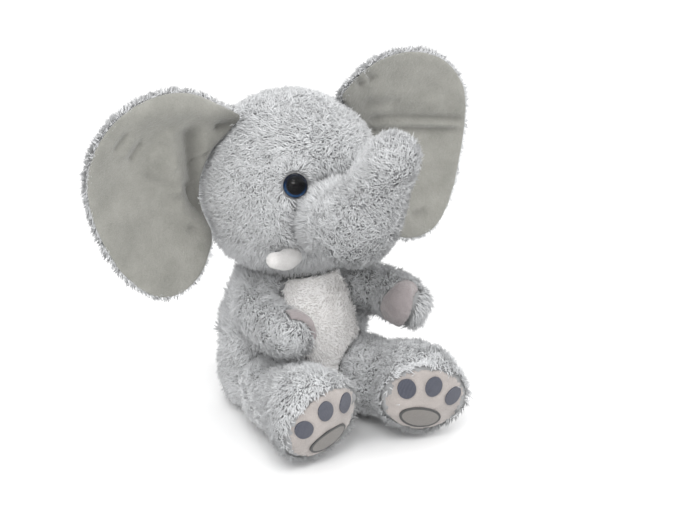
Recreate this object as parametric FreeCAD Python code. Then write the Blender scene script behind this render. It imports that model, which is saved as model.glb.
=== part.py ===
import FreeCAD, Part
import math
import os

Vec = FreeCAD.Vector

# A seated stuffed elephant: fur fabric skins over fibre filling, velour ear linings, soles,
# palms and tusks, embroidered toes, plastic safety eyes.
# Millimetres. The elephant faces -Y, +Z is up, its own left is +X, and it sits on z = 0.
# Each skin is drawn to the middle of its pile.

# skins and clearances
fur_wall = 4.0              # fur fabric, backing plus half of the pile
velour_wall = 2.2
socket_gap = 0.7            # room between a limb and its socket, over the limb's whole travel
trunk_gap = 1.5
tool_length = 60.0          # length of a cutting tool that passes right through a skin
ring_points = 12            # points that each round section is drawn through
dome_angles = (84, 66, 44, 22)     # degrees up a rounded end at which its sections lie

# head
head_centre = Vec(0, 20, 159)
head_radius = 63.5

# neck stitching, a ring of thread in the gap between the head and the body
neck_thread = 2.2
neck_gap = 3.4
neck_ring_drop = 57.0       # below the head's centre

# eyes
eye_diameter = 16.0
eye_azimuth = 25.8          # degrees to each side of straight ahead
eye_height_angle = 14.5     # degrees above the head's centre
eye_seat = 60.5             # radius at which the eye's back lies on the head
eye_back_height = 1.4
iris_height = 0.8
lens_height = 4.0
shank_diameter = 4.0
shank_length = 9.0
washer_diameter = 12.0
washer_height = 1.4
shank_ribs = 4
rib_pitch = 1.4
rib_height = 1.2
rib_depth = 0.3
iris_margin = 0.6           # the iris disc is this much inside the lens
eye_room = 0.2              # round the eye and its washer
shank_room = 0.4

# tusks
tusk_base = Vec(20, -20.5, 122)
tusk_tip = Vec(47, -38, 127)
tusk_radii = [6.8, 6.6, 5.4]
tusk_wall = 1.5
tusk_bow = Vec(0, -1.5, -1.5)      # how far the middle of a tusk bows forward and down

# trunk, which lies in the plane x = 0
trunk_path = [Vec(0, -32, 151), Vec(0, -45, 150), Vec(0, -58, 150.5), Vec(0, -74, 160),
              Vec(0, -89, 179), Vec(0, -102, 196), Vec(0, -113, 210)]
trunk_radii = [26.5, 26.5, 29.0, 28.0, 23.5, 20.0, 19.0]

# ears, drawn for the left side on a flat pattern (across, up) and pressed into a dish
ear_pattern = [(20, 205), (44, 222), (66, 236), (98, 239), (127, 227), (146, 200), (147, 170),
               (139, 140), (124, 114), (102, 99), (80, 103), (62, 120), (40, 160)]
ear_pattern_middle = Vec(92, 0, 168)
ear_depth_span = (-50, 70)  # depths between which the pattern cuts the dish
ear_dish_centre = Vec(88, -122, 170)
ear_dish_radius = 150.0
ear_fur_wall = 6.0
ear_lining_inset = 2.5
ear_root_gap = 3.5
ear_lean = {-1: 6.0, 1: -7.0}      # degrees that each ear's top leans outward
ear_hinge_low = Vec(62, 27, 118)
ear_hinge_high = Vec(38, 27, 214)

# torso
torso_centre_y = 17.0
torso_depth = 0.92          # its depth against its width
torso_profile = [(36, 0), (50, 12), (54, 34), (50, 62), (42, 86), (35, 101), (26, 116)]
belly_centre_z = 66.0
belly_half_width = 30.0
belly_half_height = 43.0
belly_wall = 3.0
belly_prism_length = 90.0   # reaches from the body's middle out past its front
pellet_bag_radius = 30.0
pellet_bag_height = 16.0
pellet_bag_z = 16.0
pellet_bag_back = 8.0       # behind the body's middle
pellet_bag_rounding = 0.45  # edge radius against its height

# arms, by side
arm_radii = [16.5, 16.5, 17.0, 16.5]
arm_raise = 18.0            # degrees that an arm lifts
arm_channel = 40.0
shoulder = {-1: Vec(-38, -1, 84), 1: Vec(38, -1, 84)}
elbow = {-1: Vec(-44, -18, 82), 1: Vec(48, -16, 84)}
wrist = {-1: Vec(-44, -37, 80), 1: Vec(53, -32, 83)}
hand = {-1: Vec(-40, -53, 80), 1: Vec(52, -47, 82)}
palm_half_width = 11.0
palm_half_length = 17.0
palm_facing = {-1: Vec(1.0, -0.1, 0), 1: Vec(-0.80, -0.60, 0)}
palm_slope = 24.0           # degrees that the palm's long side drops toward the hand's end

# legs: a fat tube from the hip to the sole
hip = Vec(33, -22, 28)
sole_centre = Vec(37.5, -98, 31)
leg_radius = 27.5
leg_ankle_radius = 32.0
ankle_depth = 20.0          # behind the sole's centre
leg_channel = 60.0
channel_step = 0.25         # each channel of a socket is this much wider than the one before
joint_slack = 0.001         # surfaces nearer than this count as one
foot_rims = [(-7.0, 5.5), (-0.5, 2.5)]     # depth and margin round the sole of the foot's last rings
sole_half_width = 29.0
sole_half_height = 23.0
sole_dome_radius = 62.0
sole_recess_depth = 12.0    # how deep the foot's front is cleared behind the sole
sole_yaw = 12.0             # degrees that the soles turn toward each other
sole_pitch = 12.0           # degrees that the soles tip down
sole_roll = 17.0            # degrees that the toes lean outward
stitch_height = 0.9
toe_half = (6.0, 6.8)
toe_fan = 0.7               # degrees that a toe leans for each millimetre off centre
toe_places = [(-17.5, 7.5), (0.0, 13.0), (17.5, 7.5)]
pad_half = (13.5, 7.0)
pad_place = (0.0, -11.5)
pad_border = 1.6

# tail
tail_root = Vec(0, 63, 46)
tail_middle = Vec(0, 77, 42)
tail_end = Vec(0, 84, 28)
tail_radii = [5.5, 4.5, 4.0]
tail_pinch = 1.5            # extra room round the tail's root
tail_tuft_length = 6.0
tail_tuft_radii = [5.0, 6.0]

sides = {"right": -1, "left": 1}


def ball(centre, radius):
    return Part.makeSphere(radius, centre)


def mirrored(vector, side):
    return Vec(vector.x * side, vector.y, vector.z)


def ring(centre, across, above):
    """A closed curve round the centre, its half sizes given by two vectors."""
    curve = Part.BSplineCurve()
    turns = [2 * math.pi * i / ring_points for i in range(ring_points)]
    curve.interpolate([centre + across * math.cos(turn) + above * math.sin(turn) for turn in turns],
                      PeriodicFlag=True)
    return Part.Wire([curve.toShape()])


def square_axes(direction, reference):
    """Two unit vectors square to the direction, the first one nearest to the reference."""
    across = (reference - direction * reference.dot(direction)).normalize()
    return across, direction.cross(across)


def dome_rings(centre, direction, reference, radius, outward):
    """Rings of a half ball on the end of a tube, from its pole to just before its rim."""
    across, above = square_axes(direction, reference)
    rings = []
    for angle in dome_angles:
        turn = math.radians(angle)
        middle = centre + direction * (outward * radius * math.sin(turn))
        size = radius * math.cos(turn)
        rings.append(ring(middle, across * size, above * size))
    return rings


def round_tube(path, radii, reference=Vec(1, 0, 0)):
    """A smooth tube through the path's points with a half ball on each end."""
    tangents = []
    for i in range(len(path)):
        before, after = path[max(i - 1, 0)], path[min(i + 1, len(path) - 1)]
        tangents.append((after - before).normalize())
    rings = dome_rings(path[0], tangents[0], reference, radii[0], -1)
    for point, tangent, radius in zip(path, tangents, radii):
        across, above = square_axes(tangent, reference)
        rings.append(ring(point, across * radius, above * radius))
    rings += reversed(dome_rings(path[-1], tangents[-1], reference, radii[-1], 1))
    return Part.makeLoft(rings, True, False)


def facing(direction, place, roll=0):
    """A placement that turns +Z to the direction, after a roll about +Z."""
    turned = FreeCAD.Rotation(Vec(0, 0, 1), direction)
    return FreeCAD.Placement(place, turned * FreeCAD.Rotation(Vec(0, 0, 1), roll))


def ellipse_prism(half_width, half_height, height):
    """An elliptical prism about Z, its half sizes along X and Y, centred on z = 0."""
    across, up, turn = half_width, half_height, 0
    if half_height > half_width:
        across, up, turn = half_height, half_width, 90
    curve = Part.Ellipse(Vec(0, 0, -height / 2), across, up).toShape()
    prism = Part.Face(Part.Wire([curve])).extrude(Vec(0, 0, height))
    prism.rotate(Vec(0, 0, 0), Vec(0, 0, 1), turn)
    return prism


def eye_direction(side):
    around, above = math.radians(eye_azimuth), math.radians(eye_height_angle)
    return Vec(side * math.sin(around) * math.cos(above), -math.cos(around) * math.cos(above),
               math.sin(above))


def eye_parts(side):
    """Back with its ribbed shank, printed iris, clear lens and lock washer, seated on the head."""
    radius = eye_diameter / 2
    back = Part.makeCylinder(radius, eye_back_height)
    shank = Part.makeCylinder(shank_diameter / 2, shank_length, Vec(0, 0, -shank_length))
    for rib in range(1, shank_ribs + 1):
        shank = shank.fuse(Part.makeCone(shank_diameter / 2 - rib_depth, shank_diameter / 2 + rib_depth,
                                         rib_height, Vec(0, 0, rib_pitch * rib - shank_length)))
    back = back.fuse(shank).removeSplitter()
    iris = Part.makeCylinder(radius - iris_margin, iris_height, Vec(0, 0, eye_back_height))
    lens_base = eye_back_height + iris_height
    dome_radius = (radius ** 2 + lens_height ** 2) / (2 * lens_height)
    dome = ball(Vec(0, 0, lens_base + lens_height - dome_radius), dome_radius)
    lens = dome.common(Part.makeCylinder(radius, lens_height + 1, Vec(0, 0, lens_base)))
    hole = Part.makeCylinder(shank_diameter / 2 + rib_depth + 0.05, washer_height + 2)
    washer = Part.makeCylinder(washer_diameter / 2, washer_height)
    washer = washer.cut(hole.translated(Vec(0, 0, -1)))
    washer.translate(Vec(0, 0, eye_inner_face() - washer_height))
    direction = eye_direction(side)
    seat = facing(direction, head_centre + direction * eye_seat)
    parts = {"back": back, "iris": iris, "lens": lens, "washer": washer}
    return {name: placed(shape, seat) for name, shape in parts.items()}


def eye_inner_face():
    """Height, in the eye's frame, of the head skin's inner face under the washer."""
    inner = head_radius - fur_wall
    return math.sqrt(inner ** 2 - (washer_diameter / 2) ** 2) - eye_seat - eye_room / 2


def placed(shape, placement):
    return shape.transformed(placement.toMatrix())


def eye_pocket(side):
    """Room for an eye and its shank in the head's skin and filling."""
    direction = eye_direction(side)
    pocket = Part.makeCylinder(eye_diameter / 2 + eye_room, tool_length)
    bottom = Vec(0, 0, -shank_length - 0.5)
    hole = Part.makeCylinder(shank_diameter / 2 + shank_room, shank_length + 1, bottom)
    pocket = pocket.fuse(hole)
    return placed(pocket, facing(direction, head_centre + direction * eye_seat))


def washer_pocket(side):
    direction = eye_direction(side)
    base = Vec(0, 0, eye_inner_face() - washer_height - eye_room)
    pocket = Part.makeCylinder(washer_diameter / 2 + eye_room, washer_height * 4, base)
    return placed(pocket, facing(direction, head_centre + direction * eye_seat))


def tusk_solid(side, less=0.0):
    start, end = mirrored(tusk_base, side), mirrored(tusk_tip, side)
    middle = (start + end) * 0.5 + tusk_bow
    return round_tube([start, middle, end - (end - start).normalize() * tusk_radii[2]],
                      [radius - less for radius in tusk_radii], Vec(0, 0, 1))


def trunk_solid(less=0.0):
    return round_tube(trunk_path, [radius - less for radius in trunk_radii])


def trunk_socket():
    """Room in the head for the trunk's root: a round-ended bore that opens forward."""
    root, forward = trunk_path[0], Vec(0, -tool_length / 2, 0)
    radius = trunk_radii[0] + trunk_gap
    return round_tube([root, root + forward, root + forward * 2], [radius] * 3)


def ear_outline(side, inset):
    """Prism along Y of the ear pattern, shrunk about its own middle by the inset."""
    points = []
    for across, up in ear_pattern:
        arm = Vec(across, 0, up) - ear_pattern_middle
        points.append(ear_pattern_middle + arm * (1 - inset / arm.Length))
    curve = Part.BSplineCurve()
    curve.interpolate(points, PeriodicFlag=True)
    prism = Part.Face(Part.Wire([curve.toShape()])).extrude(Vec(0, ear_depth_span[1] - ear_depth_span[0], 0))
    prism.translate(Vec(0, ear_depth_span[0], 0))
    prism.rotate(ear_hinge_low, Vec(0, 1, 0), ear_lean[side])
    return prism


def ear_layer(side, inner, outer, inset):
    """A layer of the dished ear between two spheres, clear of the head's ball."""
    layer = ball(ear_dish_centre, outer).cut(ball(ear_dish_centre, inner))
    layer = layer.common(ear_outline(side, inset))
    layer = layer.cut(ball(head_centre, head_radius + ear_root_gap))
    if side < 0:
        layer = layer.mirror(Vec(0, 0, 0), Vec(1, 0, 0))
    return largest(layer)


def largest(shape):
    return max(shape.Solids, key=lambda solid: solid.Volume)


def torso_solid(less=0.0):
    """The pear of the body, flat where it sits."""
    lowest, highest = torso_profile[0][1], torso_profile[-1][1]
    rings = []
    for radius, height in torso_profile:
        level = min(max(height, lowest + less), highest - less)
        size = radius - less
        rings.append(ring(Vec(0, torso_centre_y, level), Vec(size, 0, 0), Vec(0, size * torso_depth, 0)))
    return Part.makeLoft(rings, True, False)


def belly_prism():
    prism = ellipse_prism(belly_half_width, belly_half_height, belly_prism_length)
    prism.rotate(Vec(0, 0, 0), Vec(1, 0, 0), 90)
    prism.translate(Vec(0, torso_centre_y - 3 - belly_prism_length / 2, belly_centre_z))
    return prism


def neck_socket():
    return ball(head_centre, head_radius + neck_gap)


def arm_path(side):
    return [shoulder[side], elbow[side], wrist[side], hand[side]]


def arm_solid(side, less=0.0):
    return round_tube(arm_path(side), [radius - less for radius in arm_radii])


def palm_prism(side):
    """Teardrop patch on the inner face of the hand, as an elliptical prism."""
    prism = ellipse_prism(palm_half_width, palm_half_length, tool_length)
    prism.translate(Vec(0, 0, tool_length / 2))
    prism.rotate(Vec(0, 0, 0), Vec(1, 0, 0), 90)
    out = palm_facing[side]
    turn = math.degrees(math.atan2(out.x, -out.y))
    prism.rotate(Vec(0, 0, 0), Vec(0, 1, 0), side * palm_slope)
    prism.rotate(Vec(0, 0, 0), Vec(0, 0, 1), turn)
    prism.translate((wrist[side] + hand[side] * 2) * (1 / 3))
    return prism


def limb_room(joint, radius, directions, length):
    """Room in the body for a limb: a ball at its joint and a channel along each direction.

    Each tool is a little wider than the one before it, so that no two share a surface.
    """
    room = [ball(joint, radius + socket_gap)]
    for step, direction in enumerate(directions, 1):
        room.append(Part.makeCylinder(radius + socket_gap + channel_step * step, length, joint, direction))
    return room


def arm_room(side):
    direction = elbow[side] - shoulder[side]
    raised = FreeCAD.Rotation(Vec(-1, 0, 0), arm_raise).multVec(direction)
    return limb_room(shoulder[side], arm_radii[0], [direction, raised], arm_channel)


def leg_room(side):
    return limb_room(mirrored(hip, side), leg_radius, [mirrored(sole_centre - hip, side)], leg_channel)


def tail_solid(less=0.0):
    return round_tube([tail_root, tail_middle, tail_end], [radius - less for radius in tail_radii])


def sole_frame(side):
    """Placement of the sole: local +Z out of the sole, +Y to the toes, +X to its outer side."""
    yaw, pitch, roll = math.radians(sole_yaw), math.radians(sole_pitch), math.radians(sole_roll)
    normal = Vec(-side * math.sin(yaw) * math.cos(pitch), -math.cos(yaw) * math.cos(pitch),
                 -math.sin(pitch))
    level = normal.cross(Vec(0, 0, 1)).normalize()
    if level.x * side < 0:
        level = level * -1
    rise = normal.cross(level)
    if rise.z < 0:
        rise = rise * -1
    up = rise * math.cos(roll) + level * math.sin(roll)
    out = level * math.cos(roll) - rise * math.sin(roll)
    return mirrored(sole_centre, side), out, up, normal


def on_sole(shape, side):
    """Moves a shape from the sole's own frame to the foot, mirrored for the right foot."""
    centre, out, up, normal = sole_frame(side)
    if side < 0:
        shape = shape.mirror(Vec(0, 0, 0), Vec(1, 0, 0))
        out = out * -1
    matrix = FreeCAD.Matrix(out.x, up.x, normal.x, centre.x, out.y, up.y, normal.y, centre.y,
                            out.z, up.z, normal.z, centre.z, 0, 0, 0, 1)
    return shape.transformed(matrix)


def leg_solid(side, less=0.0):
    """A tube with a round root at the hip, a full ankle, and the sole's own plane at its front."""
    centre, out, up, normal = sole_frame(side)
    start = mirrored(hip, side)
    ankle = centre - normal * ankle_depth
    middle = (start + ankle) * 0.5
    axis = (ankle - start).normalize()
    rings = dome_rings(start, axis, out, leg_radius - less, -1)
    for point, direction, radius in ((start, axis, leg_radius), (middle, axis, leg_radius),
                                     (ankle, normal, leg_ankle_radius)):
        across, above = square_axes(direction, out)
        rings.append(ring(point, across * (radius - less), above * (radius - less)))
    for depth, rim in foot_rims:
        wide, high = sole_half_width + rim - less, sole_half_height + rim - less
        rings.append(ring(centre + normal * (depth - less * 0.3), out * wide, up * high))
    return Part.makeLoft(rings, True, False)


def sole_layer(side, outline, low, high):
    """A layer of the domed sole between two heights, inside an outline prism."""
    middle = Vec(0, 0, -sole_dome_radius)
    layer = ball(middle, sole_dome_radius + high)
    layer = layer.cut(ball(middle, sole_dome_radius + low))
    return on_sole(layer.common(outline), side)


def sole_parts(side):
    """Velour sole, three embroidered toes, the embroidered pad and its dark border."""
    outline = ellipse_prism(sole_half_width, sole_half_height, tool_length)
    sole = sole_layer(side, outline, -velour_wall, 0)
    toes = []
    for across, up in toe_places:
        oval = ellipse_prism(*toe_half, tool_length)
        oval.rotate(Vec(0, 0, 0), Vec(0, 0, 1), -across * toe_fan)
        oval.translate(Vec(across, up, 0))
        toes.append(sole_layer(side, oval, 0, stitch_height))
    inner = ellipse_prism(*pad_half, tool_length)
    outer = ellipse_prism(pad_half[0] + pad_border, pad_half[1] + pad_border, tool_length)
    place = Vec(*pad_place, 0)
    pad = sole_layer(side, inner.translated(place), 0, stitch_height)
    border = sole_layer(side, outer.cut(inner).translated(place), 0, stitch_height)
    return sole, Part.makeCompound(toes), pad, border


def sole_recess(side):
    """What is taken off the leg's front for the sole, with everything beyond it."""
    outline = ellipse_prism(sole_half_width, sole_half_height, tool_length)
    middle = Vec(0, 0, -sole_dome_radius)
    beyond = outline.cut(ball(middle, sole_dome_radius - velour_wall))
    corner = Vec(-sole_half_width * 2, -sole_half_width * 2, -velour_wall - sole_recess_depth)
    front = Part.makeBox(sole_half_width * 4, sole_half_width * 4, tool_length, corner)
    return on_sole(beyond.common(front), side)


def export(name, shape):
    solids = shape.Solids
    shape = solids[0] if len(solids) == 1 else Part.makeCompound(solids)
    state = "valid" if shape.isValid() else "not valid"
    print(name, len(solids), "solids,", round(shape.Volume), "mm3,", state)
    shape.exportStep("parts/" + name + ".step")


def split_skin(outer, inner, cuts=(), slack=0.0):
    """A skin and its filling, both cut by the same tools, touching within the slack."""
    skin, filling = outer.cut(inner), inner
    for tool in cuts:
        skin = skin.cut(tool, slack)
        filling = filling.cut(tool, slack)
    return skin, filling


def build_head():
    cuts = []
    for side in sides.values():
        cuts += [eye_pocket(side), tusk_solid(side)]
    cuts.append(trunk_socket())
    outer, inner = ball(head_centre, head_radius), ball(head_centre, head_radius - fur_wall)
    skin, filling = split_skin(outer, inner, cuts)
    for side in sides.values():
        filling = filling.cut(washer_pocket(side))
    export("head_shell", largest(skin))
    export("head_stuffing", largest(filling))
    for name, side in sides.items():
        for part, shape in eye_parts(side).items():
            export("eye_" + part + "_" + name, shape)
        cover, core = split_skin(tusk_solid(side), tusk_solid(side, tusk_wall))
        export("tusk_cover_" + name, cover)
        export("tusk_stuffing_" + name, core)


def build_trunk():
    skin, filling = split_skin(trunk_solid(), trunk_solid(fur_wall))
    export("trunk_shell", skin)
    export("trunk_stuffing", filling)


def build_ears():
    for name, side in sides.items():
        front = ear_dish_radius
        export("ear_back_" + name, ear_layer(side, front, front + ear_fur_wall, 0))
        export("ear_lining_" + name, ear_layer(side, front - velour_wall, front, ear_lining_inset))


def build_neck():
    ring_z = head_centre.z - neck_ring_drop
    middle = head_radius + neck_gap / 2
    ring_radius = math.sqrt(middle ** 2 - neck_ring_drop ** 2)
    thread = Part.makeTorus(ring_radius, neck_thread / 2, Vec(head_centre.x, head_centre.y, ring_z))
    export("neck_stitching", thread)


def build_torso():
    cuts = [neck_socket()] + limb_room(tail_root, tail_radii[0] + tail_pinch, [], 0)
    for side in sides.values():
        cuts += arm_room(side) + leg_room(side)
    skin, filling = split_skin(torso_solid(), torso_solid(fur_wall), cuts)
    belly = torso_solid().cut(torso_solid(belly_wall)).common(belly_prism())
    for tool in cuts:
        belly = belly.cut(tool)
    belly = largest(belly)
    backing = largest(skin.cut(belly_prism()))
    filling = largest(filling.fuse(torso_solid(belly_wall).common(belly_prism())))
    for tool in cuts:
        filling = filling.cut(tool)
    place = Vec(0, torso_centre_y + pellet_bag_back, pellet_bag_z)
    pellets = Part.makeCylinder(pellet_bag_radius, pellet_bag_height, place)
    pellets = pellets.makeFillet(pellet_bag_height * pellet_bag_rounding, pellets.Edges)
    for tool in cuts:
        pellets = pellets.cut(tool)
    export("body_shell", backing)
    export("belly_panel", belly)
    export("pellet_bag", pellets)
    export("body_stuffing", largest(filling.cut(pellets)))


def build_arms():
    for name, side in sides.items():
        skin, filling = split_skin(arm_solid(side), arm_solid(side, fur_wall))
        palm = largest(skin.common(palm_prism(side)))
        export("arm_shell_" + name, largest(skin.cut(palm_prism(side))))
        export("palm_pad_" + name, palm)
        export("arm_stuffing_" + name, filling)


def build_legs():
    for name, side in sides.items():
        sole, toes, pad, border = sole_parts(side)
        recess = sole_recess(side)
        outer, inner = leg_solid(side), leg_solid(side, fur_wall)
        skin, filling = split_skin(outer, inner, [recess], joint_slack)
        export("leg_shell_" + name, largest(skin))
        export("leg_stuffing_" + name, largest(filling))
        export("sole_" + name, sole)
        export("toes_" + name, toes)
        export("foot_pad_" + name, pad)
        export("foot_pad_border_" + name, border)


def build_tail():
    along = (tail_end - tail_middle).normalize()
    start = tail_end + along * (tail_radii[-1] + tail_tuft_radii[0])
    export("tail", tail_solid())
    export("tail_tuft", round_tube([start, start + along * tail_tuft_length], tail_tuft_radii))


os.makedirs("parts", exist_ok=True)
build_head()
build_trunk()
build_ears()
build_neck()
build_torso()
build_arms()
build_legs()
build_tail()
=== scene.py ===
import math
import bpy
import numpy as np
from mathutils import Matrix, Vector


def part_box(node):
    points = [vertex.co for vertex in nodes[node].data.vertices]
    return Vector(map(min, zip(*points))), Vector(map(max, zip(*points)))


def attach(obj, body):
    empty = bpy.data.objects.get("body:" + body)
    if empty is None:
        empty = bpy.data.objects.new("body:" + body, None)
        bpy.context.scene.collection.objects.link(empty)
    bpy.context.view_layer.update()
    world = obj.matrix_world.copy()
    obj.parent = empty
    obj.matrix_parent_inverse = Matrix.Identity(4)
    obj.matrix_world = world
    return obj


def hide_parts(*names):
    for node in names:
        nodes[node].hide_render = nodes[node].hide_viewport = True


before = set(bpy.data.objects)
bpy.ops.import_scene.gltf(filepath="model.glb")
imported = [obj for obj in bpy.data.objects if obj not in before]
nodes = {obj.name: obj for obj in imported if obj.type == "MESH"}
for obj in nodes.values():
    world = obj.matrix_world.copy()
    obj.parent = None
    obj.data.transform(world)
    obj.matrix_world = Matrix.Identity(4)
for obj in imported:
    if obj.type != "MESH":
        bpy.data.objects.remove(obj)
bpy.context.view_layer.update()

mm = 0.001
sides = ("right", "left")
bakeMap = "OFBake"  # the pile's own map: tone across, root to tip upwards
settleFrames = 20  # of cloth simulation


class Wire:
    # one socket of a material, or a plain number, that sums like a Python value
    def __init__(self, board, socket):
        self.board, self.socket = board, socket

    def math(self, operation, *others):
        node = self.board.tree.nodes.new("ShaderNodeMath")
        node.operation = operation
        for slot, value in zip(node.inputs, (self, *others)):
            self.board.feed(slot, value)
        return Wire(self.board, node.outputs[0])

    def __add__(self, other): return self.math("ADD", other)
    def __radd__(self, other): return self.math("ADD", other)
    def __sub__(self, other): return self.math("SUBTRACT", other)
    def __mul__(self, other): return self.math("MULTIPLY", other)
    def __rmul__(self, other): return self.math("MULTIPLY", other)
    def __pow__(self, other): return self.math("POWER", other)
    def sine(self): return self.math("SINE")
    def least(self, other): return self.math("MINIMUM", other)
    def most(self, other): return self.math("MAXIMUM", other)
    def within(self): return self.most(0.0).least(1.0)

    def mix(self, first, second):
        # the first colour where this is 0, the second where it is 1
        node = self.board.tree.nodes.new("ShaderNodeMix")
        node.data_type = "RGBA"
        for slot, value in ((node.inputs[0], self), (node.inputs[6], first), (node.inputs[7], second)):
            self.board.feed(slot, value)
        return Wire(self.board, node.outputs[2])


class Board:
    # one material, with a method that adds any node and one that sets the finish
    def __init__(self, name, **finish):
        self.material = bpy.data.materials.new(name)
        self.material.use_nodes = True
        self.tree = self.material.node_tree
        self.shader = self.tree.nodes["Principled BSDF"]
        self.finish(**finish)

    def feed(self, slot, value):
        if isinstance(value, Wire):
            self.tree.links.new(value.socket, slot)
        elif isinstance(value, tuple) and len(value) == 3 and slot.type == "RGBA":
            slot.default_value = (*value, 1.0)
        else:
            slot.default_value = value

    def node(self, kind, settings=None, **inputs):
        node = self.tree.nodes.new("ShaderNode" + kind)
        for key, value in (settings or {}).items():
            setattr(node, key, value)
        for key, value in inputs.items():
            self.feed(node.inputs[key.replace("_", " ")], value)
        return node

    def out(self, node, name=0):
        return Wire(self, node.outputs[name])

    def place(self):
        return self.out(self.node("TexCoord"), "Object")

    def parts(self, vector):
        split = self.node("SeparateXYZ", Vector=vector)
        return [self.out(split, k) for k in range(3)]

    def noise(self, vector, scale, detail=3.0, rough=0.55):
        return self.out(self.node("TexNoise", Vector=vector, Scale=scale, Detail=detail, Roughness=rough))

    def bump(self, height, distance, strength=1.0):
        node = self.node("Bump", Height=height, Distance=distance, Strength=strength)
        self.feed(self.shader.inputs["Normal"], self.out(node))

    def finish(self, **values):
        for key, value in values.items():
            self.feed(self.shader.inputs[key.replace("_", " ")], value)
        return self


def paint(*values):
    # a linear colour from 0 to 255 red, green and blue
    share = np.array(values) / 255
    return tuple(float(x) for x in np.where(share < 0.04045, share / 12.92, ((share + 0.055) / 1.055) ** 2.4))


def grey(value, warm=0.0):
    # a nearly neutral colour of a 0 to 255 brightness, warmer above 0 and cooler below
    return paint(value * (1 + warm), value, value * (1 - warm))


def readMesh(thing):
    # corner positions and triangles of a mesh object
    mesh = thing.data
    mesh.calc_loop_triangles()
    points = np.empty(len(mesh.vertices) * 3, np.float32)
    mesh.vertices.foreach_get("co", points)
    corners = np.empty(len(mesh.loop_triangles) * 3, np.int32)
    mesh.loop_triangles.foreach_get("vertices", corners)
    return points.reshape(-1, 3).astype(float), corners.reshape(-1, 3)


def makePiece(name, points, faceSets, materials=(), uv=None, soft=None):
    # a smooth mesh object from corner positions and arrays of faces, with its own normals if soft is given
    mesh = bpy.data.meshes.new(name)
    sizes = np.concatenate([np.full(len(f), f.shape[1]) for f in faceSets])
    loops = np.concatenate([f.ravel() for f in faceSets])
    mesh.vertices.add(len(points))
    mesh.vertices.foreach_set("co", np.asarray(points, np.float32).ravel())
    mesh.loops.add(len(loops))
    mesh.loops.foreach_set("vertex_index", loops.astype(np.int32))
    mesh.polygons.add(len(sizes))
    mesh.polygons.foreach_set("loop_start", (np.cumsum(sizes) - sizes).astype(np.int32))
    if uv is not None:
        layer = mesh.uv_layers.new(name=bakeMap)
        layer.data.foreach_set("uv", uv[loops].astype(np.float32).ravel())
    mesh.update(calc_edges=True)
    mesh.polygons.foreach_set("use_smooth", np.ones(len(sizes), bool))
    if soft is not None:
        mesh.normals_split_custom_set_from_vertices(soft.astype(np.float32))
    for material in materials:
        mesh.materials.append(material)
    piece = bpy.data.objects.new(name, mesh)
    bpy.context.scene.collection.objects.link(piece)
    return piece


def faceNormals(points, faces):
    a, b, c = (points[faces[:, k]] for k in (0, 1, 2))
    if faces.shape[1] == 4:  # half the cross product of the diagonals
        return np.cross(c - a, points[faces[:, 3]] - b) / 2
    return np.cross(b - a, c - a) / 2


def cornerNormals(points, faces):
    # each corner's normal is the sum of its faces' normals by area, made one long
    total = np.zeros_like(points)
    normals = faceNormals(points, faces)
    for k in range(faces.shape[1]):
        np.add.at(total, faces[:, k], normals)
    return total / np.maximum(np.linalg.norm(total, axis=1), 1e-12)[:, None]


def outerIsland(points, faces):
    # the connected part with the largest box, found by spreading the lowest label
    labels = np.arange(len(points))
    while True:
        low = labels[faces].min(1)
        fresh = labels.copy()
        np.minimum.at(fresh, faces.ravel(), np.repeat(low, faces.shape[1]))
        fresh = fresh[fresh]
        if (fresh == labels).all():
            break
        labels = fresh
    kinds = np.unique(labels)
    spans = [np.ptp(points[labels == kind], axis=0).sum() for kind in kinds]
    keep = labels == kinds[int(np.argmax(spans))]
    number = np.cumsum(keep) - 1
    return points[keep], number[faces[keep[faces[:, 0]]]]


def evaluated(thing):
    # corner positions of an object with its modifiers, and the corners of its faces in one row
    mesh = thing.evaluated_get(bpy.context.evaluated_depsgraph_get()).to_mesh()
    points = np.empty(len(mesh.vertices) * 3, np.float32)
    mesh.vertices.foreach_get("co", points)
    corners = np.empty(len(mesh.loops), np.int32)
    mesh.loops.foreach_get("vertex_index", corners)
    return points.reshape(-1, 3).astype(float), corners


def remeshed(node, voxel):
    # the node's solid as even quads of one voxel, without sealed hollows
    points, faces = readMesh(nodes[node])
    draft = makePiece("draft", points, [faces])
    modifier = draft.modifiers.new("even", "REMESH")
    modifier.mode = "VOXEL"
    modifier.voxel_size = voxel
    points, corners = evaluated(draft)
    bpy.data.objects.remove(draft)
    return outerIsland(points, corners.reshape(-1, 4))


def relaxed(points, faces, rounds, pull=0.5):
    # each corner moves part of the way to the mean of its neighbours, then the whole swells back a little
    around = [(faces[:, k], faces[:, (k + 1) % faces.shape[1]]) for k in range(faces.shape[1])]
    count = np.zeros(len(points))
    for a, b in around:
        np.add.at(count, a, 1)
        np.add.at(count, b, 1)
    for step in range(rounds * 2):
        total = np.zeros_like(points)
        for a, b in around:
            np.add.at(total, a, points[b])
            np.add.at(total, b, points[a])
        share = pull if step % 2 == 0 else -pull * 1.04
        points = points + (total / count[:, None] - points) * share
    return points


def swollen(points, faces, pressure, cap):
    # cloth filled by pressure until it settles, with no point moving further than the cap
    draft = makePiece("draft", points, [faces])
    modifier = draft.modifiers.new("cloth", "CLOTH")
    settings = modifier.settings
    settings.quality = 4
    settings.mass = 0.2
    settings.tension_stiffness = settings.compression_stiffness = 12
    settings.bending_stiffness = 0.4
    settings.use_pressure = True
    settings.uniform_pressure_force = pressure
    settings.effector_weights.gravity = 0
    modifier.point_cache.frame_start, modifier.point_cache.frame_end = 1, settleFrames
    for step in range(1, settleFrames + 1):
        bpy.context.scene.frame_set(step)
    moved, _ = evaluated(draft)
    bpy.context.scene.frame_set(1)
    bpy.data.objects.remove(draft)
    shift = moved - points
    far = np.linalg.norm(shift, axis=1)[:, None]
    return points + shift * np.minimum(1, cap / np.maximum(far, 1e-9))


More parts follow.
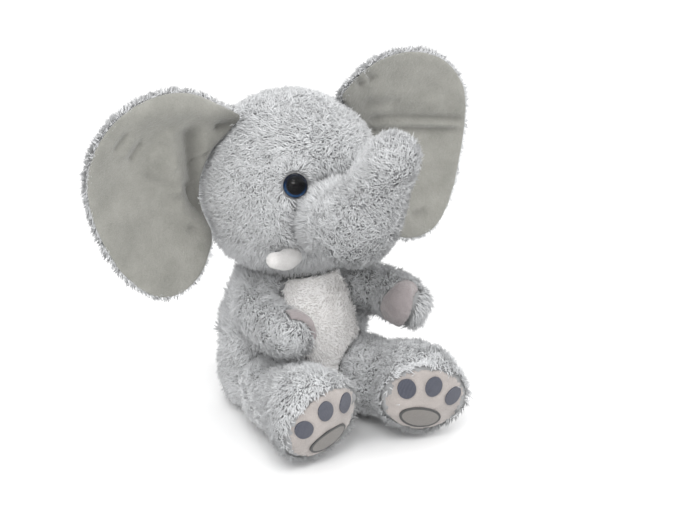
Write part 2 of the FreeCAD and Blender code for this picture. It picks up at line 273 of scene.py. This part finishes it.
def waves(points, length, seed):
    # smooth noise from -1 to 1: a mean of sines whose crests lie about one length apart
    chance = np.random.default_rng(seed)
    total = np.zeros(len(points))
    for k in range(7):
        way = chance.normal(size=3)
        way *= 2 * math.pi / (length * chance.uniform(0.7, 1.6) * np.linalg.norm(way))
        total += np.sin(points @ way + chance.uniform(0, 6.28))
    return total / 3.2


def nearest(points, others, reach):
    # distance from each point to the nearest of the others, or the reach where it is further
    found = np.full(len(points), float(reach))
    low, high = others.min(0) - reach, others.max(0) + reach
    near = np.flatnonzero(((points > low) & (points < high)).all(1))
    for part in np.array_split(near, max(1, len(near) // 1500)):
        if len(part):
            a, b = points[part], others
            square = (a ** 2).sum(1)[:, None] - 2 * a @ b.T + (b ** 2).sum(1)
            found[part] = np.sqrt(np.maximum(square.min(1), 0))
    return found


def growPile(name, skin, pile, clear, keep=None):
    # each tuft is a closed three-sided spindle in two lengths: it rises along a direction between the skin's
    # normal and the lie of the pile, is widest half way, and bends further over towards its tip
    chance = np.random.default_rng(pile["seed"])
    points, faces, normals = skin["points"], skin["faces"], skin["normals"]
    triangles = np.vstack([faces[:, [0, 1, 2]], faces[:, [0, 2, 3]]])
    area = np.linalg.norm(faceNormals(points, triangles), axis=1)
    count = int(area.sum() / mm ** 2 * pile["density"])
    pick = chance.choice(len(triangles), count, p=area / area.sum())
    u, v = chance.random((2, count, 1))
    flip = (u + v) > 1
    u, v = np.where(flip, 1 - u, u), np.where(flip, 1 - v, v)
    corners = triangles[pick]
    blend = lambda data: data[corners[:, 0]] * (1 - u - v) + data[corners[:, 1]] * u + data[corners[:, 2]] * v
    root, normal = blend(points), blend(normals)
    stay = np.ones(count, bool)
    if keep is not None:
        stay &= blend(keep[:, None])[:, 0] > 0.5
    for others, reach in clear:
        stay &= nearest(root, others, reach * mm) >= reach * mm * 0.999
    root, normal = root[stay], normal[stay]
    count = len(root)
    normal /= np.linalg.norm(normal, axis=1)[:, None]
    patch = np.stack([waves(root, pile["swirl"] * mm, pile["seed"] + k) for k in (1, 2, 3)], 1)
    fine = np.stack([waves(root, pile["clump"] * mm, pile["seed"] + k) for k in (4, 5, 6)], 1)
    lie = np.array(pile["lie"]) + patch * pile["wander"] + fine * pile["tangle"]
    lie = lie + chance.normal(size=(count, 3)) * pile["loose"]
    # brushed away from these places, or towards them where the force is below 0
    for centre, reach, force in pile.get("partsAt", ()):
        off = root - centre
        far = np.linalg.norm(off, axis=1)[:, None]
        lie = lie + off / far * force * np.clip(2 - far / (reach * mm), 0, 1)
    lie -= normal * (lie * normal).sum(1)[:, None]
    lie /= np.maximum(np.linalg.norm(lie, axis=1), 1e-9)[:, None]
    across = np.cross(normal, lie)
    lean = np.radians(pile["lean"] + 14 * fine[:, :1] + chance.normal(size=(count, 1)) * 11)
    length = pile["length"] * mm * (1 + 0.16 * fine[:, 1:2] + chance.uniform(-0.28, 0.22, (count, 1)))
    width = pile["width"] * mm * chance.uniform(0.7, 1.3, (count, 1)) / 2
    rise = normal * np.cos(lean * 0.6) + lie * np.sin(lean * 0.6)
    drop = normal * np.cos(lean * 1.35) + lie * np.sin(lean * 1.35)
    root = root - normal * 0.4 * mm
    middle = root + rise * length * 0.5
    tip = middle + drop * length * 0.5 + across * length * chance.normal(size=(count, 1)) * 0.08
    back = np.cross(rise, across)
    ring = []
    for turn in (90, 210, 330):
        c, s = math.cos(math.radians(turn)), math.sin(math.radians(turn))
        ring.append(middle + (across * c + back * s * 0.6) * width)
    corners = np.stack([root, *ring, tip], 1).reshape(-1, 3)
    start = (np.arange(count) * 5)[:, None]
    spikes = np.concatenate([start + np.array([[1 + k, 1 + (k + 1) % 3, 4]]) for k in range(3)]
                            + [start + np.array([[1 + (k + 1) % 3, 1 + k, 0]]) for k in range(3)])
    shade = pile["tone"] + pile["mottle"] * waves(root, pile["patch"] * mm, pile["seed"] + 9)
    shade = shade + 0.12 * fine[:, 2] + chance.normal(size=count) * pile["streak"]
    shade = np.clip(shade, 0.02, 0.94)
    side = np.tile([0.02, 0.0, 0.02, 0.04, 0.02], count)
    along = np.tile([0.02, 0.5, 0.5, 0.5, 0.98], count)
    uv = np.stack([np.repeat(shade, 5) + side, along], 1)
    ringNormals = [normal * 0.7 + across * math.cos(math.radians(turn)) + back * math.sin(math.radians(turn))
                   for turn in (90, 210, 330)]
    soft = np.stack([normal, *ringNormals, normal * 0.5 + drop * 0.5], 1).reshape(-1, 3)
    soft /= np.linalg.norm(soft, axis=1)[:, None]
    return makePiece(name, corners, [spikes], [pile["material"]], uv, soft)


def furMaterial(name, dark, light, rootShade):
    # the tone across the map sets each tuft between dark and light, and painted shade darkens its root towards
    # near black, by the share that the last argument gives
    board = Board(name, Roughness=0.78, Specular_IOR_Level=0.22, Sheen_Weight=0.25, Sheen_Roughness=0.5)
    pileMap = board.node("UVMap", {"uv_map": bakeMap})
    tone, along, _ = board.parts(board.out(pileMap))
    rise = (along * 1.5).within() ** 0.8
    lit = tone.mix(dark, light)
    # painted shade between the tufts: the colour falls towards near black at the root
    colour = (rise * rootShade + (1 - rootShade)).mix((0.012, 0.012, 0.013), lit)
    board.finish(Base_Color=colour)
    return board.material


def skinMaterial(name, dark, light):
    # knitted backing cloth: mottled, with a fine grain
    board = Board(name, Roughness=0.95, Specular_IOR_Level=0.1)
    place = board.place()
    cloud = board.noise(place, 90.0, 3.0)
    board.finish(Base_Color=((cloud - 0.35) * 3.0).within().mix(dark, light))
    board.bump(board.noise(place, 900.0, 2.0), 0.0004)
    return board.material


def velourMaterial(name, dark, light, nap=0.00025, shadeAttribute=None):
    # short dense nap: a fine grain in height, slow cloudiness in colour and a soft edge sheen; the last
    # argument names an attribute that is 1 on open cloth and lower where painted shade darkens the colour, as
    # in folds
    board = Board(name, Roughness=0.88, Specular_IOR_Level=0.15, Sheen_Weight=0.45, Sheen_Roughness=0.45)
    place = board.place()
    cloud = board.noise(place, 60.0, 4.0, 0.6)
    speck = board.noise(place, 1400.0, 2.0, 0.7)
    blend = ((cloud - 0.5) * 1.6 + (speck - 0.5) * 1.1 + 0.55).within()
    colour = blend.mix(dark, light)
    if shadeAttribute:
        shadeFactor = board.out(board.node("Attribute", {"attribute_name": shadeAttribute}), "Fac")
        # painted shade: the colour falls towards near black where the attribute is below 1
        colour = shadeFactor.mix((0.03, 0.03, 0.028), colour)
    board.finish(Base_Color=colour, Roughness=0.82 + 0.12 * speck)
    board.bump(speck + board.noise(place, 420.0, 2.0) * 1.2, nap * 2)
    return board.material


def threadMaterial(name, dark, light, pitch, along):
    # satin stitches: rows of thread side by side along one direction, each a small ridge; the colour follows
    # the ridges, lighter on the crests and darker in the grooves between rows as painted shade, with a random
    # tone from noise
    board = Board(name, Roughness=0.5, Specular_IOR_Level=0.35, Sheen_Weight=0.2)
    place = board.place()
    x, y, z = board.parts(place)
    row = (x * along[0] + y * along[1] + z * along[2]) * (2 * math.pi / pitch)
    fray = board.noise(place, 500.0, 2.0) * 3.0
    ridge = (row + fray).sine() * 0.5 + 0.5
    # painted shade: the grooves between the rows of thread are darker than the crests
    board.finish(Base_Color=(ridge * 0.8 + board.noise(place, 260.0) * 0.3).within().mix(dark, light))
    board.bump(ridge, 0.0003)
    return board.material


def skinOf(points, faces):
    return {"points": points, "faces": faces, "normals": cornerNormals(points, faces)}


def settle(piece, body, slot, fill, *stands):
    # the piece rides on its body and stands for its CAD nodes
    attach(piece, body)
    if stands:
        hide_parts(*stands)
    return piece


view = {"azimuth": -29.5, "elevation": 19.3, "distance": 1.5, "aim": (0, -0.020, 0.125), "lens": 119.65,
        "shift": (0.0278, -0.0128)}
studio = {"floor": grey(243), "world": 0.96,
          "floorHalf": 30,
          # name, place, size in metres and power in watts
          "lamps": [("key", (-0.9, -1.1, 1.5), 1.0, 21), ("fill", (1.3, -0.9, 0.9), 1.2, 5),
                    ("top", (0.1, 0.2, 1.7), 1.1, 9)]}


def makeStudio():
    a, e = math.radians(view["azimuth"]), math.radians(view["elevation"])
    away = Vector((math.sin(a) * math.cos(e), -math.cos(a) * math.cos(e), math.sin(e)))
    camera = bpy.data.objects.new("camera", bpy.data.cameras.new("camera"))
    camera.location = Vector(view["aim"]) + away * view["distance"]
    camera.rotation_euler = (-away).to_track_quat("-Z", "Y").to_euler()
    camera.data.lens, camera.data.sensor_width = view["lens"], 36
    camera.data.shift_x, camera.data.shift_y = view["shift"]
    bpy.context.scene.collection.objects.link(camera)
    bpy.context.scene.camera = camera
    bpy.context.scene.view_settings.view_transform = "Standard"
    world = bpy.data.worlds.new("studio")
    bpy.context.scene.world = world
    world.use_nodes = True
    world.node_tree.nodes["Background"].inputs[0].default_value = (1, 1, 1, 1)
    world.node_tree.nodes["Background"].inputs[1].default_value = studio["world"]
    for name, place, size, power in studio["lamps"]:
        lamp = bpy.data.objects.new(name, bpy.data.lights.new(name, "AREA"))
        lamp.data.size, lamp.data.energy = size, power
        lamp.location = place
        lamp.rotation_euler = (Vector((0, 0, 0.1)) - Vector(place)).to_track_quat("-Z", "Y").to_euler()
        bpy.context.scene.collection.objects.link(lamp)
    corners = np.array([[-1, -1, 0], [1, -1, 0], [1, 1, 0], [-1, 1, 0]], float) * studio["floorHalf"]
    floor = makePiece("floor", corners, [np.array([[0, 1, 2, 3]])],
                      [Board("floorPaper", Base_Color=studio["floor"], Roughness=0.9).material])


makeStudio()
print("stage: studio")

furGrey = furMaterial("furGrey", grey(166, -0.006), grey(228, -0.006), 0.26)
furWhite = furMaterial("furWhite", grey(236, 0.010), grey(254, 0.004), 0.12)
backing = skinMaterial("backingGrey", grey(138), grey(165, -0.008))

# the cloth under the fur: which solid it wraps, its mesh size, cloth pressure and how far it may swell, in mm
padding = {
    "body": {"node": "body_stuffing", "voxel": 4, "pressure": 4, "cap": 1.2},
    "head": {"node": "head_stuffing", "voxel": 4, "pressure": 0, "cap": 0},
    "trunk": {"node": "trunk_stuffing", "voxel": 3.2, "pressure": 4, "cap": 0.8},
    "arm": {"node": "arm_stuffing_", "voxel": 3, "pressure": 4, "cap": 0.8},
    "leg": {"node": "leg_stuffing_", "voxel": 3.2, "pressure": 4, "cap": 1.0},
}


def stuffedSkin(kind, side=""):
    part = padding[kind]
    points, faces = remeshed(part["node"] + side, part["voxel"] * mm)
    points = relaxed(points, faces, 2)
    if part["pressure"]:
        points = swollen(points, faces, part["pressure"], part["cap"] * mm)
    return skinOf(points, faces)


skins = {"body": stuffedSkin("body"), "head": stuffedSkin("head"), "trunk": stuffedSkin("trunk")}
for side in sides:
    skins["arm_" + side] = stuffedSkin("arm", side)
    skins["leg_" + side] = stuffedSkin("leg", side)
print("stage: stuffed skins")

# velour and plush patches: pleats are counted round the rim, and pleat is their height in mm
patches = {
    "belly": {"node": "belly_panel", "voxel": 2.0, "colour": (grey(214, 0.012), grey(236, 0.008))},
    "sole": {"node": "sole_", "voxel": 1.4, "pleats": 34, "pleat": 0.7,
             "colour": (paint(154, 148, 145), paint(178, 171, 167))},
    "palm": {"node": "palm_pad_", "voxel": 1.2, "pleats": 18, "pleat": 0.4,
             "colour": (paint(134, 127, 128), paint(156, 149, 149))},
    "tusk": {"node": "tusk_cover_", "voxel": 1.3, "colour": (grey(186, 0.01), grey(208, 0.008))},
}


def patchSkin(kind, side=""):
    # the patch's solid, with short pleats round its edge: a cosine of the angle about its own middle,
    # growing towards the rim
    part = patches[kind]
    points, faces = remeshed(part["node"] + side, part["voxel"] * mm)
    points = relaxed(points, faces, 2)
    normals = cornerNormals(points, faces)
    if part.get("pleats"):
        middle = points.mean(0)
        _, _, axes = np.linalg.svd(points - middle, full_matrices=False)
        flat = (points - middle) @ axes.T
        reach = np.abs(flat).max(0)
        angle = np.arctan2(flat[:, 1] / reach[1], flat[:, 0] / reach[0])
        radius = np.hypot(flat[:, 0] / reach[0], flat[:, 1] / reach[1])
        uneven = waves(points, 14 * mm, 5)
        rim = np.clip((radius - 0.72) / 0.28, 0, 1) ** 1.5
        points = points + normals * (rim * part["pleat"] * mm * np.cos(angle * part["pleats"] + 3 * uneven)
                                     * (0.6 + 0.6 * uneven))[:, None]
        points = points + normals * (0.25 * mm * waves(points, 9 * mm, 8))[:, None]
    return skinOf(points, faces)


patchSkins = {"belly": patchSkin("belly")}
for kind in ("sole", "palm", "tusk"):
    for side in sides:
        patchSkins[kind + "_" + side] = patchSkin(kind, side)
print("stage: patches")

earForm = {
    "rings": 46, "spokes": 220,  # of the mesh, from the middle to the rim and round it
    "puff": 3.0, "puffWave": 55,  # how far the lining swells forward, and the length of its slow waves
    "pileInset": 2.6,  # the fur back stops this far inside the lining's rim
    "shadeFrom": 66, "shadeOver": 16,  # painted shade near the head: distance from its middle, and fade
    # soft ridges (height above 0) and creases (below 0): two ends as shares of the lining's box, then width
    # and height in mm
    "folds": {
        "right": [(0.30, 0.94, 0.92, 0.88, 9, 5.0), (0.99, 0.80, 0.84, 0.79, 4.5, -5.0),
                  (0.69, 0.82, 0.745, 0.37, 6, -5.0), (0.76, 0.76, 0.86, 0.28, 5, 4.0),
                  (0.54, 0.82, 0.64, 0.45, 7, 4.0), (0.265, 0.835, 0.181, 0.757, 2.6, -2.4),
                  (0.378, 0.773, 0.302, 0.681, 2.6, -2.4), (0.32, 0.80, 0.24, 0.71, 3, 1.6),
                  (0.652, 0.528, 0.828, 0.289, 3, -3.0), (0.664, 0.305, 0.835, 0.227, 3, -2.6),
                  (0.60, 0.42, 0.80, 0.22, 4, 2.4), (0.45, 0.70, 0.60, 0.60, 4, 1.8),
                  (0.40, 0.60, 0.60, 0.50, 3, -1.6)],
        "left": [(0.25, 0.655, 1.02, 0.577, 3, -3.0), (0.25, 0.585, 1.01, 0.523, 3, -2.8),
                 (0.35, 0.62, 0.97, 0.55, 3.4, 2.4), (0.016, 0.973, 0.185, 0.854, 3, -4.0),
                 (0.09, 0.985, 0.267, 0.869, 3, -3.6),
                 (0.05, 0.99, 0.22, 0.87, 2.6, 2.4), (0.574, 0.112, 0.695, 0.12, 3, -2.0),
                 (0.29, 0.797, 0.83, 0.671, 8, 2.4), (0.1, 0.5, 0.5, 0.35, 8, 2.4),
                 (0.2, 0.75, 0.5, 0.72, 4, -2.0)],
    },
    "colour": (paint(126, 126, 120), paint(152, 151, 145)),
}


def dishOf(points):
    # the sphere that fits the points best: centre and radius
    system = np.c_[2 * points, np.ones(len(points))]
    answer = np.linalg.lstsq(system, (points ** 2).sum(1), rcond=None)[0]
    return answer[:3], math.sqrt(answer[3] + (answer[:3] ** 2).sum())


def outlineOf(points, middle, spokes):
    # how far the points reach from the middle at each angle, as seen from the front
    across, up = points[:, 0] - middle[0], points[:, 2] - middle[2]
    angle, reach = np.arctan2(up, across), np.hypot(across, up)
    bins = 90
    place = ((angle + math.pi) / (2 * math.pi) * bins).astype(int) % bins
    far = np.zeros(bins)
    np.maximum.at(far, place, reach)
    at = (np.arange(bins) + 0.5) / bins * 2 * math.pi - math.pi
    good = far > 0.02
    wanted = np.linspace(-math.pi, math.pi, spokes, endpoint=False)
    far = np.interp(wanted, at[good], far[good], period=2 * math.pi)
    for _ in range(2):
        far = (np.roll(far, 1) + far * 2 + np.roll(far, -1)) / 4
    return wanted, far


def foldHeight(across, up, low, high, folds):
    # each fold is a bell curve across its line, fading at both ends
    total = np.zeros_like(across)
    corner, span = low[[0, 2]], (high - low)[[0, 2]]
    for x0, z0, x1, z1, width, height in folds:
        start = corner + span * (x0, z0)
        way = span * (x1 - x0, z1 - z0)
        share = np.clip(((across - start[0]) * way[0] + (up - start[1]) * way[1]) / (way @ way), 0, 1)
        off = np.hypot(across - start[0] - share * way[0], up - start[1] - share * way[1])
        fade = np.clip(np.sin(share * math.pi) * 2.2 + 0.25, 0, 1)
        total += height * mm * np.exp(-(off / (width * mm)) ** 2) * fade
    return total


def earSheet(points, centre, front, back, inset, rise):
    # two dished faces that share one rim: along each spoke the front runs from the middle out to the rim
    # and the back returns, each on a sphere about the dish's centre
    middle = (points.min(0) + points.max(0)) / 2
    angle, reach = outlineOf(points, middle, earForm["spokes"])
    share = np.sin(np.linspace(0.0, 1.0, earForm["rings"]) * math.pi / 2)[1:]
    share = np.concatenate([share, share[::-1][1:]])
    isFront = np.arange(len(share)) < earForm["rings"] - 1
    reach = reach - inset
    across = middle[0] + np.outer(share, reach * np.cos(angle))
    up = middle[2] + np.outer(share, reach * np.sin(angle))
    rim = np.sqrt(np.clip(1 - share ** 6, 0, 1))[:, None]
    half = (front + back) / 2
    radius = np.where(isFront[:, None], half + (front - half) * rim, half + (back - half) * rim)
    radius = radius - np.where(isFront[:, None], rise(across, up) * rim, 0)
    deep = centre[1] + np.sqrt(radius ** 2 - (across - centre[0]) ** 2 - (up - centre[2]) ** 2)
    grid = np.stack([across, deep, up], -1).reshape(-1, 3)
    rows, spokes = len(share), earForm["spokes"]
    ends = grid.reshape(rows, spokes, 3)[[0, -1]].mean(1)
    index = np.arange(rows * spokes).reshape(rows, spokes)
    turned = np.roll(index, -1, axis=1)
    quads = np.stack([index[:-1], turned[:-1], turned[1:], index[1:]], -1).reshape(-1, 4)
    first, last = rows * spokes, rows * spokes + 1
    fans = np.concatenate([np.stack([np.full(spokes, first), turned[0], index[0]], -1),
                           np.stack([np.full(spokes, last), index[-1], turned[-1]], -1)])
    side = np.concatenate([np.repeat(np.where(isFront, share, 0), spokes), [0, 0]])
    return np.vstack([grid, ends]), quads, fans, side


def outward(points, quads, fans, centre):
    # turns the faces round if the front looks away from the dish's centre
    first = faceNormals(points, quads[:50]).mean(0)
    if first @ (centre - points[quads[0, 0]]) < 0:
        return quads[:, ::-1], fans[:, ::-1]
    return quads, fans


def puffOf(across, up, low, high, folds):
    # how far the lining stands forward: slow waves on an even swell, plus the folds
    flat = np.stack([across, 0 * across, up], -1).reshape(-1, 3)
    slow = 1.0 + 0.3 * waves(flat, earForm["puffWave"] * mm, 21).reshape(across.shape)
    return earForm["puff"] * mm * slow + foldHeight(across, up, low, high, folds)


lining = velourMaterial("earVelour", *earForm["colour"], shadeAttribute="paintedShade")
earSkins = {}
headMiddle = np.array(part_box("head_shell")).mean(0)
for side in sides:
    folds = earForm["folds"][side]
    front, _ = readMesh(nodes["ear_lining_" + side])
    rear, _ = readMesh(nodes["ear_back_" + side])
    centre, radius = dishOf(front)
    low, high = front.min(0), front.max(0)
    points, quads, fans, _ = earSheet(front, centre, radius - 1.2 * mm, radius + 0.9 * mm, 0,
                                      lambda across, up: puffOf(across, up, low, high, folds))
    quads, fans = outward(points, quads, fans, centre)
    piece = makePiece("earLining_" + side, points, [quads, fans], [lining])
    # painted shade on the lining: darker in its creases and near the head
    fold = foldHeight(points[:, 0], points[:, 2], low, high, folds) / mm
    near = (np.linalg.norm(points - headMiddle, axis=1) / mm - earForm["shadeFrom"]) / earForm["shadeOver"]
    paintedShade = (1 + np.clip(fold * 0.09, -0.42, 0.0)) * (1 - 0.32 * np.exp(-np.maximum(near, 0) ** 1.5))
    piece.data.attributes.new("paintedShade", "FLOAT", "POINT").data.foreach_set("value", paintedShade.astype(np.float32))
    settle(piece, "ear_" + side, "ear_velour", 0.3, "ear_lining_" + side)
    points, quads, fans, share = earSheet(rear, centre, radius + 1.3 * mm, radius + 3.4 * mm,
                                          earForm["pileInset"] * mm, lambda across, up: np.zeros_like(across))
    quads, fans = outward(points, quads, fans, centre)
    piece = makePiece("earBacking_" + side, points, [quads, fans], [backing])
    settle(piece, "ear_" + side, "grey_fur", 0.3, "ear_back_" + side)
    skin = skinOf(points, quads)
    skin["keep"] = ((share == 0) | (share > 0.97)).astype(float)  # the back and the rim
    earSkins[side] = skin
print("stage: ears")

settle(makePiece("bodySkin", skins["body"]["points"], [skins["body"]["faces"]], [backing]),
       "torso", "grey_fur", 0.8, "body_shell", "body_stuffing", "pellet_bag")
settle(makePiece("headSkin", skins["head"]["points"], [skins["head"]["faces"]], [backing]),
       "head", "grey_fur", 0.9, "head_shell", "head_stuffing")
settle(makePiece("trunkSkin", skins["trunk"]["points"], [skins["trunk"]["faces"]], [backing]),
       "trunk", "grey_fur", 0.9, "trunk_shell", "trunk_stuffing")
bellyCloth = velourMaterial("bellyCloth", *patches["belly"]["colour"])
settle(makePiece("bellyPanel", patchSkins["belly"]["points"], [patchSkins["belly"]["faces"]], [bellyCloth]),
       "torso", "belly_plush", 0.7, "belly_panel")
soleVelour = velourMaterial("soleVelour", *patches["sole"]["colour"])
palmVelour = velourMaterial("palmVelour", *patches["palm"]["colour"])
tuskVelour = velourMaterial("tuskVelour", *patches["tusk"]["colour"])
for side in sides:
    for kind, slot, material, fill, stands in (
            ("arm", "grey_fur", backing, 0.8, ("arm_shell_", "arm_stuffing_")),
            ("leg", "grey_fur", backing, 0.85, ("leg_shell_", "leg_stuffing_"))):
        skin = skins[kind + "_" + side]
        settle(makePiece(kind + "Skin_" + side, skin["points"], [skin["faces"]], [material]),
               kind + "_" + side, slot, fill, *(node + side for node in stands))
    for kind, body, slot, material, fill, stands in (
            ("sole", "leg_", "sole_velour", soleVelour, 0.6, ("sole_",)),
            ("palm", "arm_", "sole_velour", palmVelour, 0.5, ("palm_pad_",)),
            ("tusk", "", "tusk_velour", tuskVelour, 0.9, ("tusk_cover_", "tusk_stuffing_"))):
        skin = patchSkins[kind + "_" + side]
        settle(makePiece(kind + "Velour_" + side, skin["points"], [skin["faces"]], [material]),
               (body + side) if body else "head", slot, fill, *(node + side for node in stands))
tailPoints, tailFaces = remeshed("tail", 1.6 * mm)
tailSkin = skinOf(relaxed(tailPoints, tailFaces, 2), tailFaces)
tuftPoints, tuftFaces = remeshed("tail_tuft", 1.6 * mm)
tuftSkin = skinOf(relaxed(tuftPoints, tuftFaces, 2), tuftFaces)
settle(makePiece("tailSkin", tailSkin["points"], [tailFaces], [backing]),
       "tail", "grey_fur", 0.8, "tail")
settle(makePiece("tailTuftSkin", tuftSkin["points"], [tuftFaces], [backing]),
       "tail", "grey_fur", 0.8, "tail_tuft")

# one kind of fur: tufts in each square mm; length, width, swirl, clump and patch in mm; lean in degrees;
# swirl and clump are the lengths of the waves that turn the pile by wander and tangle
basePile = {"density": 1.65, "length": 6.0, "width": 0.76, "lean": 50, "swirl": 60, "clump": 9, "wander": 0.9,
            "tangle": 0.5, "loose": 0.3, "lie": (0, 0, -0.5), "tone": 0.56, "mottle": 0.10, "patch": 26,
            "streak": 0.10, "material": furGrey, "seed": 100}
mostTufts = 30000  # in one piece
eyeCentres = {}
for side in sides:
    low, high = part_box("eye_lens_" + side)
    eyeCentres[side] = np.array((low + high) / 2)
headLow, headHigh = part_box("head_shell")
headCentre = np.array((headLow + headHigh) / 2)


def pointsOf(*names):
    return np.vstack([(patchSkins | skins | {"tail": tailSkin})[name]["points"] for name in names])


def splitPile(name, skin, pile, clear, body, keep=None):
    # the same pile in several pieces, so that none holds too many tufts
    area = np.linalg.norm(faceNormals(skin["points"], skin["faces"]), axis=1).sum() / mm ** 2
    parts = math.ceil(area * pile["density"] / mostTufts)
    for k in range(parts):
        share = dict(pile, density=pile["density"] / parts, seed=pile["seed"] + 40 * k)
        piece = growPile(name + (str(k + 1) if parts > 1 else ""), skin, share, clear, keep)
        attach(piece, body)


eyes = np.vstack(list(eyeCentres.values()))
neckMiddle = np.array(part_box("neck_stitching")).mean(0)


def collar(name, skin, centre, radius, clear, body, **changes):
    # a band of longer pile, standing out over a seam
    band = (np.linalg.norm(skin["points"] - centre, axis=1) < radius * mm).astype(float)
    pile = dict(basePile, density=1.5, tangle=0.3, wander=0.3, **changes)
    splitPile(name, skin, pile, clear, body, band)


trunkRoot = np.array([0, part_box("trunk_stuffing")[1][1] - 22.5 * mm, headCentre[2] - 8 * mm])
limbs = [skins[kind + "_" + side]["points"] for kind in ("arm", "leg") for side in sides]
headBrush = [*((eye, 10, 2.0) for eye in eyes), (neckMiddle, 25, -4.0), (trunkRoot, 20, -3.0)]
splitPile("headFur", skins["head"], dict(basePile, seed=101, lie=(0, 0.1, -0.25), partsAt=headBrush),
          [(eyes, 9.4), (pointsOf("tusk_right", "tusk_left"), 2.0), (skins["trunk"]["points"], 5.7),
           (skins["body"]["points"], 7.7)], "head")
splitPile("trunkFur", skins["trunk"],
          dict(basePile, seed=201, lie=(0, -0.5, 0.3), length=5.6, tone=0.50, partsAt=[(headCentre, 40, -4.0)]),
          [(pointsOf("tusk_right", "tusk_left"), 1.5)], "trunk",
          keep=(np.linalg.norm(skins["trunk"]["points"] - headCentre, axis=1) > 55 * mm).astype(float))
splitPile("bodyFur", skins["body"],
          dict(basePile, seed=301, lie=(0, 0, -0.7), partsAt=[(headCentre, 45, -4.0)]),
          [(pointsOf("belly"), 2.6), (skins["head"]["points"], 7.7), *[(limb, 5.1) for limb in limbs]],
          "torso")
for number, side in enumerate(sides):
    splitPile("armFur_" + side, skins["arm_" + side],
              dict(basePile, seed=401 + number, lie=(0, -0.8, -0.2), length=8.0),
              [(pointsOf("palm_" + side), 1.6), (skins["body"]["points"], 5.1)], "arm_" + side)
    splitPile("legFur_" + side, skins["leg_" + side],
              dict(basePile, seed=501 + number, lie=(0, -0.7, -0.1), tone=0.68),
              [(pointsOf("sole_" + side), 1.5), (skins["body"]["points"], 5.1)], "leg_" + side)
    splitPile("earFur_" + side, earSkins[side],
              dict(basePile, seed=601 + number, length=5.6, width=0.64, density=2.0, lie=(0, 0.1, -0.3),
                   tone=0.74, partsAt=[(earSkins[side]["points"].mean(0), 200, 1.6)]),
              [], "ear_" + side, keep=earSkins[side]["keep"])
splitPile("tailFur", tailSkin, dict(basePile, seed=701, length=4.5, lie=(0, 0.3, -1)),
          [(skins["body"]["points"], 5.0)], "tail")
splitPile("tailTuftFur", tuftSkin, dict(basePile, seed=702, length=9, density=1.2, lie=(0, 0.2, -1.5), lean=60),
          [], "tail")
splitPile("bellyPile", patchSkins["belly"],
          dict(basePile, seed=801, length=3.2, width=0.8, density=1.5, lie=(0, -0.1, -0.4), lean=40, tone=0.62,
               mottle=0.12, material=furWhite),
          [], "torso",
          keep=(patchSkins["belly"]["normals"][:, 1] < 0.1).astype(float))
headLowest = headCentre - [0, 0, (headHigh - headLow)[2] / 2]
collar("bodyCollar", skins["body"], headLowest, 62,
       [(pointsOf("belly"), 5.0), (skins["head"]["points"], 4.6)],
       "torso", seed=901, length=9.0, lie=(0, 0, 1), lean=30)
collar("headCollar", skins["head"], headLowest, 62,
       [(skins["body"]["points"], 4.6), (skins["trunk"]["points"], 5.0)],
       "head", seed=902, length=8.0, lie=(0, 0, -1), lean=25)
collar("trunkCollar", skins["trunk"], headCentre, 72,
       [(pointsOf("tusk_right", "tusk_left"), 2.5), (eyes, 12), (skins["head"]["points"], 3.0)],
       "trunk", seed=903, length=8.0, lie=(0, 1, 0.2), lean=20)
print("stage: fur")

def dress(node, material):
    thing = nodes[node]
    thing.data.materials.clear()
    thing.data.materials.append(material)
    thing.data.polygons.foreach_set("material_index", np.zeros(len(thing.data.polygons), np.int32))


# the pupil's radius in mm, and the iris's colour away from and at its lower arc
eyeForm = {"pupil": 5.6, "dark": (0.003, 0.008, 0.026), "blue": (0.018, 0.07, 0.18)}


def irisMaterial(side):
    # rings about the eye's axis: a black pupil, then a navy iris that is lighter towards its lower outer arc
    centre = eyeCentres[side]
    axis = (centre - headCentre) / np.linalg.norm(centre - headCentre)
    board = Board("eyeIris_" + side, Roughness=0.5, Specular_IOR_Level=0.1)
    x, y, z = board.parts(board.place())
    dx, dy, dz = x - float(centre[0]), y - float(centre[1]), z - float(centre[2])
    along = dx * float(axis[0]) + dy * float(axis[1]) + dz * float(axis[2])
    square = dx * dx + dy * dy + dz * dz - along * along
    radius = square.most(0.0) ** 0.5 * (1 / mm)
    ring = ((radius - eyeForm["pupil"]) * 1.6).within()
    low = ((dz * (-1 / mm) + dx * (-0.4 / mm)) * 0.16 + 0.25).within()
    board.finish(Base_Color=ring.mix((0.002, 0.002, 0.003), low.mix(eyeForm["dark"], eyeForm["blue"])))
    return board.material


black = Board("eyeBlack", Base_Color=(0.004, 0.004, 0.005), Roughness=0.3).material
clear = Board("eyeClear", Base_Color=(1, 1, 1), Roughness=0.02, IOR=1.2, Specular_IOR_Level=0.25,
              Transmission_Weight=1.0).material
washer = Board("washerPlastic", Base_Color=grey(215), Roughness=0.4).material
neckThread = threadMaterial("neckThread", grey(150), grey(182), 0.9 * mm, (1, 0, 0.4))
toeThread = threadMaterial("toeThread", paint(56, 58, 68), paint(88, 91, 104), 0.8 * mm, (1, 0, 0.15))
padThread = threadMaterial("padThread", grey(104, 0.03), grey(140, 0.03), 0.8 * mm, (0.1, 0, 1))
borderThread = threadMaterial("borderThread", grey(50), grey(80), 0.8 * mm, (0.7, 0, 0.7))
dress("neck_stitching", neckThread)
for side in sides:
    dress("eye_back_" + side, black)
    dress("eye_iris_" + side, irisMaterial(side))
    dress("eye_lens_" + side, clear)
    dress("eye_washer_" + side, washer)
    dress("toes_" + side, toeThread)
    dress("foot_pad_" + side, padThread)
    dress("foot_pad_border_" + side, borderThread)
print("stage: eyes and embroidery")

bpy.context.view_layer.update()
